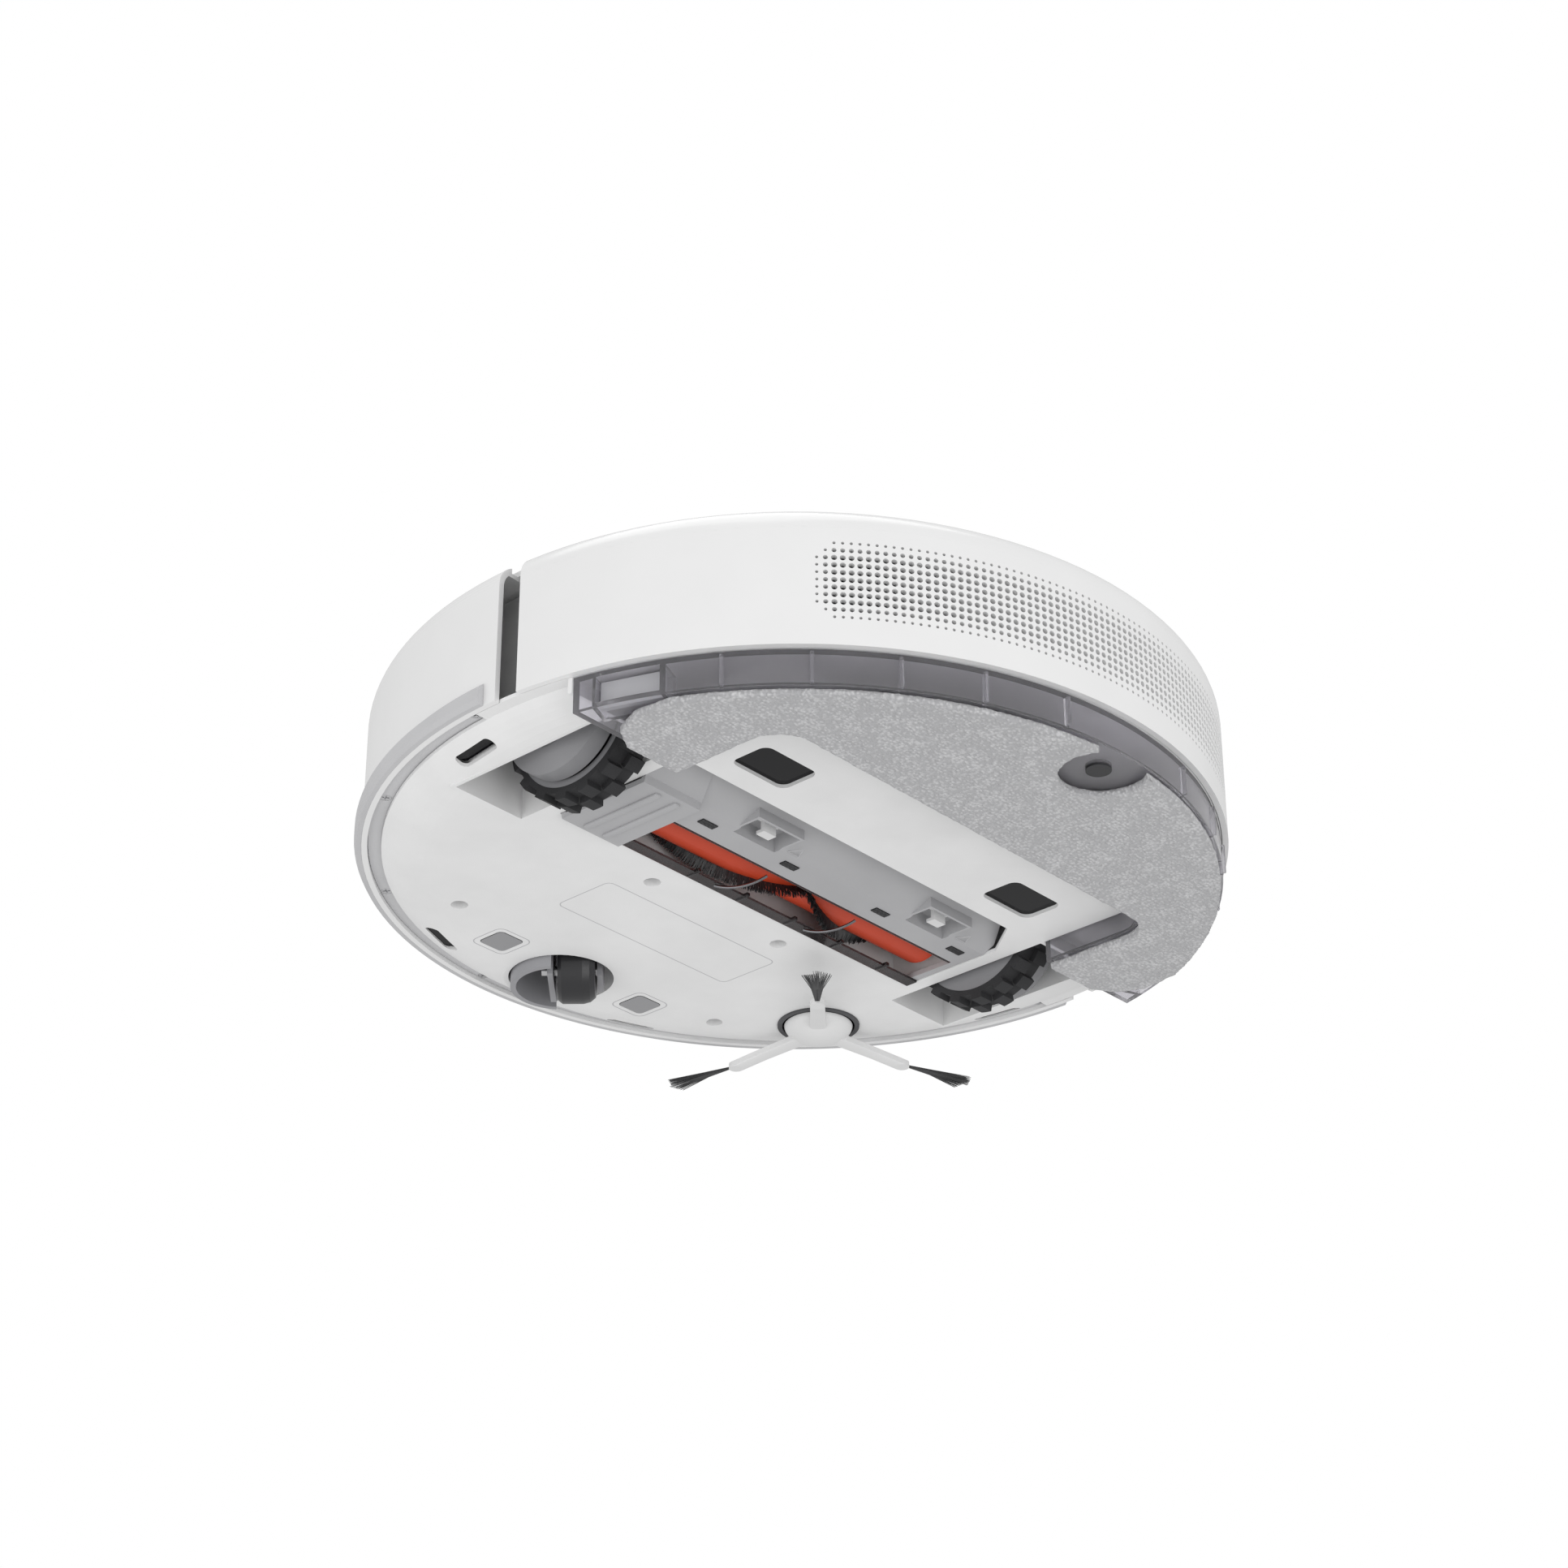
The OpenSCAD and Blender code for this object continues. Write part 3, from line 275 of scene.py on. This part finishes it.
# Brush cover: a light-grey plate over the roller's chamber, with a sloped rear band and two latch pockets, and
# the fixed block over the drive gears beside it, with two long ridges. Matte ABS.
cover_grey = moulded("cover_grey", (0.42, 0.42, 0.43), 0.5, 2400, 0.28)
finish_node(cover_grey, "brush_cover", "gear_cover")


def bar(name, low, high, radius):
    """A bar between two corners with its edges rounded."""
    bpy.ops.mesh.primitive_cube_add(size=1, location=[(a + b) / 2 for a, b in zip(low, high)])
    o = bpy.context.object
    o.name = name
    o.scale = [b - a for a, b in zip(low, high)]
    bpy.ops.object.transform_apply(location=True, rotation=True, scale=True)
    soft = o.modifiers.new("edges", "BEVEL")
    soft.width = radius
    soft.segments = 3
    soft.limit_method = "NONE"
    bpy.ops.object.modifier_apply(modifier=soft.name)
    bpy.ops.object.shade_smooth_by_angle(angle=math.radians(40))
    o.select_set(False)
    return o


ridges = [bar("ridge", (x - 0.0016, -0.026, 0.0088), (x + 0.0016, 0.0135, 0.0105), 0.0007) for x in (0.083, 0.0935)]
wear(join(ridges, "gear_cover_ridges"), cover_grey, "base")

# Front lip of the cover: smoked clear polycarbonate, its tint darkened further as painted shade of the dark chamber
# behind it, with short ribs across it, and a clear scraper rod behind the roller.
def clear(name, colour, rough, see):
    """Clear smoked plastic with faint flow lines."""
    m = bpy.data.materials.new(name)
    m.use_nodes = True
    n, l = m.node_tree.nodes, m.node_tree.links
    shader = n["Principled BSDF"]
    shader.inputs["Base Color"].default_value = (*colour, 1)
    shader.inputs["Transmission Weight"].default_value = see
    shader.inputs["IOR"].default_value = 1.3
    shader.inputs["Roughness"].default_value = rough
    place = n.new("ShaderNodeTexCoord")
    flow = n.new("ShaderNodeTexNoise")
    flow.inputs["Scale"].default_value = 60
    l.new(place.outputs["Object"], flow.inputs["Vector"])
    bump = n.new("ShaderNodeBump")
    bump.inputs["Strength"].default_value = 0.06
    bump.inputs["Distance"].default_value = 0.0005
    l.new(flow.outputs["Fac"], bump.inputs["Height"])
    l.new(bump.outputs["Normal"], shader.inputs["Normal"])
    return m


# Dark tint of the lip: partly its smoked plastic, partly painted shade of the chamber behind it.
lip_smoke_and_painted_shade = clear("lip_smoke_and_painted_shade", (0.13, 0.115, 0.12), 0.14, 0.85)
finish_node(lip_smoke_and_painted_shade, "brush_cover_lip")
ribs = [bar("rib", (x - 0.0009, -0.0285, 0.0117), (x + 0.0009, -0.0215, 0.0134), 0.0004) for x in
        (-0.083, -0.054, -0.025, 0.004, 0.033)]
wear(join(ribs, "lip_ribs"), lip_smoke_and_painted_shade, "cover")

# Guard wires across the mouth: bent spring steel, black nickel plated, pushed into the cover at both ends.
wire_black = metal("wire_black", (0.2, 0.2, 0.21), 0.3, 1200)
finish_node(wire_black, "guard_wires")

# Latches of the cover: white acetal tabs in their pockets, each with its own leaf spring.
latch_white = moulded("latch_white", (0.72, 0.72, 0.72), 0.4, 2000, 0.15)
finish_node(latch_white, "left_cover_latch", "right_cover_latch")

# Bristle patches in the cover's rear edge: short dark nylon pile in blocks, pushed into pockets.
pile = []
for px in (0.059, 0.011, -0.045, -0.093):
    verts, faces = [], []
    for i in range(15):
        for j in range(6):
            x = px - 0.0039 + 0.0078 * i / 14 + 0.00012 * ((i * 5 + j * 3) % 4)
            y = 0.0056 + 0.0028 * j / 5 + 0.0001 * ((i * 3 + j) % 3)
            base = len(verts)
            for z, thick in ((0.0152, 0.00026), (0.0126 - 0.00006 * ((i + 2 * j) % 4), 0.00018)):
                for c in range(4):
                    corner = math.radians(90 * c)
                    verts.append((x + thick * math.cos(corner), y + thick * math.sin(corner), z))
            for c in range(4):
                faces.append((base + c, base + (c + 1) % 4, base + 4 + (c + 1) % 4, base + 4 + c))
            faces += [(base + 7, base + 6, base + 5, base + 4), (base, base + 1, base + 2, base + 3)]
    pile.append(loose("pile", verts, faces))
finish_node(bristle_black, "cover_tufts")
wear(join(pile, "cover_pile"), bristle_black, "cover")

# Side brush: a white three-armed rotor on the shaft of its motor, with a dark ring around it in the pan, and a
# fan of dark nylon bristles crimped into the end of each arm.
white_rotor = moulded("white_rotor", (0.74, 0.74, 0.74), 0.34, 1800, 0.12)
finish_node(white_rotor, "side_brush_rotor")
ring_dark = moulded("ring_dark", (0.06, 0.06, 0.065), 0.5, 1800, 0.25)
finish_node(ring_dark, "side_brush_ring")
brush_x, brush_y = -0.109, -0.084
crimp_r, bend_r, tip_r, tip_spread = 0.0425, 0.058, 0.0765, 0.0045
bristle_count, turn_step = 84, 2.399
fans = []
for arm in (41, 161, 281):
    verts, faces = [], []
    for b in range(bristle_count):
        swing = math.radians(arm + 4.2 * math.sin(b * turn_step) * (b / bristle_count) ** 0.5)
        lift = 0.00045 * math.cos(b * turn_step)
        tip = tip_r - tip_spread * ((b * 13) % 17) / 17
        base = len(verts)
        for r, thick, z, share in ((crimp_r, 0.00022, 0.0028, 0.15), (bend_r, 0.00018, 0.0024, 0.6),
                                   (tip, 0.0001, 0.0012, 1.25)):
            a = math.radians(arm) + (swing - math.radians(arm)) * share
            for c in range(3):
                phi = c * third
                verts.append((brush_x + r * math.cos(a) - thick * math.sin(phi) * math.sin(a),
                              brush_y + r * math.sin(a) + thick * math.sin(phi) * math.cos(a),
                              z + lift * share + thick * math.cos(phi)))
        for ring in (0, 3):
            for c in range(3):
                faces.append((base + ring + c, base + ring + (c + 1) % 3, base + ring + 3 + (c + 1) % 3,
                              base + ring + 3 + c))
        faces += [(base + 8, base + 7, base + 6), (base, base + 1, base + 2)]
    fans.append(loose("fan", verts, faces))
wear(join(fans, "side_brush_fans"), bristle_black, "side_brush", ["side_brush_bristles"])

# Inner works that show through gaps only: battery in shrink film, green circuit board, pleated filter, and the
# clear dust bin under the lid.
finish_node(moulded("battery_film", (0.02, 0.045, 0.09), 0.3, 400, 0.2), "battery_pack")
finish_node(moulded("board_green", (0.01, 0.12, 0.04), 0.35, 1500, 0.3, mottle=0.2), "main_board")
finish_node(moulded("filter_paper", (0.7, 0.69, 0.64), 0.8, 1800, 0.6), "dust_filter")
finish_node(clear("bin_clear", (0.4, 0.4, 0.45), 0.12, 0.6), "dust_bin")

# Upper housing: glossy white ABS, deck and rear wall in one. The rear wall has the fan's exhaust grille, eleven
# rows of small round holes that get smaller towards the grille's edges.
shell_white = moulded("shell_white", (0.80, 0.80, 0.80), 0.27, 700, 0.04, coat=0.35, mottle=0.01)
finish_node(shell_white, "bin_lid", "power_button", "home_button")


def blank_from(node, name):
    """A plain copy of a CAD node to work on, its points merged, left active in edit mode with all selected."""
    o = nodes[node].copy()
    o.data = nodes[node].data.copy()
    o.name = name
    bpy.context.scene.collection.objects.link(o)
    for key in list(o.keys()):
        del o[key]
    o.parent = None
    o.hide_render = o.hide_viewport = False
    bpy.ops.object.select_all(action="DESELECT")
    o.select_set(True)
    bpy.context.view_layer.objects.active = o
    bpy.ops.object.mode_set(mode="EDIT")
    bpy.ops.mesh.select_all(action="SELECT")
    bpy.ops.mesh.remove_doubles(threshold=0.000002)
    bpy.ops.mesh.select_all(action="SELECT")
    return o


cut_z = 0.0700
deck = blank_from("upper_housing", "deck_shell")
bpy.ops.mesh.bisect(plane_co=(0, 0, cut_z), plane_no=(0, 0, 1), clear_inner=True)
bpy.ops.mesh.select_all(action="SELECT")
bpy.ops.mesh.dissolve_limited(angle_limit=math.radians(0.3))
bpy.ops.object.mode_set(mode="OBJECT")
wall_out, wall_in, wall_low = 0.175, 0.1726, 0.0193
wall_start, wall_end, plain_steps = 5.6, 174.4, 18
first_hole, last_hole, hole_step = 44.6, 135.4, 1.0563
row_count, row_pitch, lowest_row, grille_low = 11, 0.0032, 0.0311, 0.0295
hole_rows = [lowest_row + row_pitch * i for i in range(row_count)]
row_edges = [wall_low, 0.0235, grille_low] + [grille_low + row_pitch * (i + 1) for i in range(row_count)]
row_edges += [0.0672, cut_z]
columns = round((last_hole - first_hole) / hole_step)
cell_edges = [first_hole + hole_step * (c - 0.5) for c in range(columns + 2)]
left_edges = [wall_start + (cell_edges[0] - wall_start) * i / plain_steps for i in range(plain_steps)]
right_edges = [cell_edges[-1] + (wall_end - cell_edges[-1]) * (i + 1) / plain_steps for i in range(plain_steps)]
edges = left_edges + cell_edges + right_edges
bm = bmesh.new()
made = {}


def wall_vertex(bm, made, angle, z, radius):
    """A vertex on the wall, shared where one is there already."""
    key = (round(angle, 4), round(z, 6), radius)
    if key not in made:
        a = math.radians(angle)
        made[key] = bm.verts.new((radius * math.cos(a), radius * math.sin(a), z))
    return made[key]


def hole_size(column, row):
    """Radius of a grille hole: full size in the middle, small along the edges, none past them."""
    from_side = min(column, columns - column)
    first_row = {0: 2, 1: 1}.get(from_side, 0)
    last_row = row_count - 1 - first_row
    if row < first_row or row > last_row:
        return 0
    inside = min(from_side + 1.2, (row - first_row) + 1.0, (last_row - row) + 1.0)
    return {1: 0.00062, 2: 0.00095}.get(int(inside), 0.00115)


for i in range(len(edges) - 1):
    a0, a1 = edges[i], edges[i + 1]
    column = i - len(left_edges)
    for j in range(len(row_edges) - 1):
        z0, z1 = row_edges[j], row_edges[j + 1]
        row = j - 2
        size = hole_size(column, row) if 0 <= column <= columns and 0 <= row < row_count else 0
        for radius, flip in ((wall_out, False), (wall_in, True)):
            corner = [wall_vertex(bm, made, a, z, radius) for a, z in ((a0, z0), (a1, z0), (a1, z1), (a0, z1))]
            if not size:
                bm.faces.new(corner[::-1] if flip else corner)
                continue
            mid_a, mid_z = (a0 + a1) / 2, hole_rows[row]
            ring = []
            for k in range(12):
                t = math.radians(225 + 30 * k)
                ring.append(wall_vertex(bm, made, mid_a + math.degrees(size * math.cos(t) / wall_out),
                                        mid_z + size * math.sin(t), radius))
            for q in range(4):
                c0, c1 = corner[q], corner[(q + 1) % 4]
                r = [ring[(3 * q + s) % 12] for s in range(4)]
                for f in ((c0, r[1], r[0]), (c0, c1, r[2], r[1]), (c1, r[3], r[2])):
                    bm.faces.new(f[::-1] if flip else f)
            if flip:
                for k in range(12):
                    bm.faces.new((outer_ring[k], outer_ring[(k + 1) % 12], ring[(k + 1) % 12], ring[k]))
            outer_ring = ring
for i in range(len(edges) - 1):
    a0, a1 = edges[i], edges[i + 1]
    bm.faces.new([wall_vertex(bm, made, a, wall_low, r)
                  for a, r in ((a0, wall_out), (a0, wall_in), (a1, wall_in), (a1, wall_out))])
for a in (edges[0], edges[-1]):
    for j in range(len(row_edges) - 1):
        bm.faces.new([wall_vertex(bm, made, a, z, r) for z, r in ((row_edges[j], wall_out), (row_edges[j], wall_in),
                     (row_edges[j + 1], wall_in), (row_edges[j + 1], wall_out))])
bmesh.ops.recalc_face_normals(bm, faces=bm.faces)
wall_mesh = bpy.data.meshes.new("rear_wall")
bm.to_mesh(wall_mesh)
bm.free()
rear_wall = bpy.data.objects.new("rear_wall", wall_mesh)
bpy.context.scene.collection.objects.link(rear_wall)
for o in (rear_wall, deck):
    bpy.ops.object.select_all(action="DESELECT")
    o.select_set(True)
    bpy.context.view_layer.objects.active = o
    bpy.ops.object.shade_smooth_by_angle(angle=math.radians(30))
    even = o.modifiers.new("even", "WEIGHTED_NORMAL")
    even.keep_sharp, even.weight = True, 100
    bpy.ops.object.modifier_apply(modifier=even.name)
    o.select_set(False)
wear(deck, shell_white, "base", ["upper_housing"])
wear(rear_wall, shell_white, "base", ["upper_housing"])

# Bumper: the same glossy white as the housing, with a soft light-grey strip along its lower edge that takes the
# knocks. The strip is overmoulded thermoplastic rubber.
finish_node(shell_white, "bumper")
finish_node(moulded("soft_grey", (0.53, 0.53, 0.54), 0.62, 1500, 0.3), "bumper_strip")
finish_node(moulded("ring_grey", (0.58, 0.58, 0.59), 0.45, 2200, 0.2), "bumper_ring")

# Mop tank: a flat U-shaped bottle of clear, faintly purple polycarbonate, welded from two halves. Its two grey
# release tabs sit in slots at the sides, and a black rubber valve at the notch lets the water down.
tank_clear = clear("tank_clear", (0.90, 0.89, 0.925), 0.07, 0.92)
finish_node(tank_clear, "water_tank")
finish_node(moulded("tab_grey", (0.42, 0.42, 0.44), 0.4, 1800, 0.15), "left_tank_button", "right_tank_button")
finish_node(moulded("valve_black", (0.018, 0.018, 0.02), 0.45, 900, 0.2), "tank_valve")
rib_r, rib_z = 0.1715, 0.0113
tank_ribs = []
for angle in (33, 44, 55, 66, 78, 102, 114, 125, 136, 147):
    bpy.ops.mesh.primitive_cube_add(size=1)
    rib = bpy.context.object
    rib.scale = (0.0035, 0.0016, 0.0125)
    bpy.ops.object.transform_apply(location=False, rotation=False, scale=True)
    soft = rib.modifiers.new("edges", "BEVEL")
    soft.width, soft.segments = 0.0005, 2
    bpy.ops.object.modifier_apply(modifier=soft.name)
    a = math.radians(angle)
    rib.data.transform(Matrix.Translation((rib_r * math.cos(a), rib_r * math.sin(a), rib_z))
                       @ Matrix.Rotation(a, 4, "Z"))
    tank_ribs.append(rib)
wear(join(tank_ribs, "tank_ribs"), tank_clear, "tank")

# Mop cloth: a thick pad of looped light-grey microfibre on a woven backing, cut to the tank's shape and held
# under it by hook tape, so it lies flat and its cut edge is soft and rounded.
cloth = blank_from("mop_cloth", "mop_pad")
bpy.ops.object.mode_set(mode="OBJECT")
cloth.data.remesh_voxel_size = 0.0014
bpy.ops.object.voxel_remesh()
relax = cloth.modifiers.new("relax", "SMOOTH")
relax.factor, relax.iterations = 0.5, 2
bpy.ops.object.modifier_apply(modifier=relax.name)
lumps = bpy.data.textures.new("loops", "CLOUDS")
lumps.noise_scale = 0.0032
pile_up = cloth.modifiers.new("pile", "DISPLACE")
pile_up.texture, pile_up.strength, pile_up.mid_level = lumps, 0.0007, 0.75
pile_up.texture_coords = "LOCAL"
bpy.ops.object.modifier_apply(modifier=pile_up.name)
bpy.ops.object.shade_smooth()
microfibre = bpy.data.materials.new("microfibre")
microfibre.use_nodes = True
n, l = microfibre.node_tree.nodes, microfibre.node_tree.links
shader = n["Principled BSDF"]
shader.inputs["Roughness"].default_value = 0.95
shader.inputs["Sheen Weight"].default_value = 0.35
shader.inputs["Sheen Roughness"].default_value = 0.5
place = n.new("ShaderNodeTexCoord")
loops = n.new("ShaderNodeTexVoronoi")
loops.inputs["Scale"].default_value = 620
l.new(place.outputs["Object"], loops.inputs["Vector"])
patches = n.new("ShaderNodeTexNoise")
patches.inputs["Scale"].default_value = 90
patches.inputs["Detail"].default_value = 6
l.new(place.outputs["Object"], patches.inputs["Vector"])
rows = n.new("ShaderNodeTexWave")
rows.bands_direction = "Y"
rows.inputs["Scale"].default_value = 190
rows.inputs["Distortion"].default_value = 5
rows.inputs["Detail Scale"].default_value = 3
l.new(place.outputs["Object"], rows.inputs["Vector"])
ribbed = n.new("ShaderNodeMath")
ribbed.operation = "MULTIPLY_ADD"
ribbed.inputs[1].default_value = -0.22
l.new(rows.outputs["Fac"], ribbed.inputs[0])
l.new(patches.outputs["Fac"], ribbed.inputs[2])
hollow_depth_and_shade = n.new("ShaderNodeMath")
hollow_depth_and_shade.operation = "ADD"
l.new(loops.outputs["Distance"], hollow_depth_and_shade.inputs[0])
l.new(ribbed.outputs["Value"], hollow_depth_and_shade.inputs[1])
# Colour from the same depth: light on the loops, darker in the hollows between loops and rows as painted shade,
# with random patches of tone.
tone = n.new("ShaderNodeValToRGB")
tone.color_ramp.elements[0].position, tone.color_ramp.elements[1].position = 0.3, 1.1
tone.color_ramp.elements[0].color = (0.64, 0.64, 0.65, 1)
tone.color_ramp.elements[1].color = (0.40, 0.40, 0.41, 1)
l.new(hollow_depth_and_shade.outputs["Value"], tone.inputs["Fac"])
l.new(tone.outputs["Color"], shader.inputs["Base Color"])
bump = n.new("ShaderNodeBump")
bump.invert = True
bump.inputs["Strength"].default_value = 0.8
bump.inputs["Distance"].default_value = 0.0009
l.new(hollow_depth_and_shade.outputs["Value"], bump.inputs["Height"])
l.new(bump.outputs["Normal"], shader.inputs["Normal"])
wear(cloth, microfibre, "tank", ["mop_cloth"])

# Studio: a plain pale floor that shows from above, an even white surround, and three soft lamps.
bpy.ops.mesh.primitive_plane_add(size=60, location=(0, 0, -0.0002))
floor = bpy.context.object
floor.name = "floor"
floor.visible_diffuse = floor.visible_glossy = floor.visible_transmission = floor.visible_shadow = False
pale = bpy.data.materials.new("floor_pale")
pale.use_nodes = True
n, l = pale.node_tree.nodes, pale.node_tree.links
n["Principled BSDF"].inputs["Base Color"].default_value = (0.8, 0.8, 0.8, 1)
n["Principled BSDF"].inputs["Roughness"].default_value = 0.9
see_through = n.new("ShaderNodeBsdfTransparent")
side = n.new("ShaderNodeNewGeometry")
mix = n.new("ShaderNodeMixShader")
l.new(side.outputs["Backfacing"], mix.inputs["Fac"])
l.new(n["Principled BSDF"].outputs["BSDF"], mix.inputs[1])
l.new(see_through.outputs["BSDF"], mix.inputs[2])
l.new(mix.outputs["Shader"], n["Material Output"].inputs["Surface"])
floor.data.materials.append(pale)
floor.select_set(False)
world = bpy.data.worlds.new("studio")
bpy.context.scene.world = world
world.use_nodes = True
n, l = world.node_tree.nodes, world.node_tree.links
n["Background"].inputs["Color"].default_value = (1, 1, 1, 1)
path = n.new("ShaderNodeLightPath")
level = n.new("ShaderNodeMapRange")
level.inputs["To Min"].default_value = 0.66
level.inputs["To Max"].default_value = 1.0
l.new(path.outputs["Is Camera Ray"], level.inputs["Value"])
l.new(level.outputs["Result"], n["Background"].inputs["Strength"])
for name, spot, size, power in (("key", (0.35, 1.3, -0.5), 1.2, 8), ("fill", (1.4, -0.4, -0.7), 1.4, 7),
                                ("top", (0.3, 0.0, 1.6), 1.5, 10)):
    lamp = bpy.data.lights.new(name, "AREA")
    lamp.size, lamp.energy = size, power
    holder = bpy.data.objects.new(name, lamp)
    holder.location = spot
    holder.rotation_euler = (-Vector(spot)).to_track_quat("-Z", "Y").to_euler()
    bpy.context.scene.collection.objects.link(holder)
camera = bpy.data.objects.new("camera", bpy.data.cameras.new("camera"))
bpy.context.scene.collection.objects.link(camera)
camera.data.lens, camera.data.sensor_width = 83.08, 36
camera.data.clip_start, camera.data.clip_end = 0.05, 20
right, up, ahead = Vector((-0.67009, 0.74227, -0.00147)), Vector((0.35762, 0.32458, 0.87564)), Vector(
    (-0.65044, -0.58624, 0.48296))
camera.matrix_world = Matrix.Translation((0.96976, 0.86825, -0.66037)) @ Matrix(
    (right, up, -ahead)).transposed().to_4x4()
bpy.context.scene.camera = camera
bpy.context.scene.view_settings.view_transform = "Standard"

bpy.context.view_layer.update()
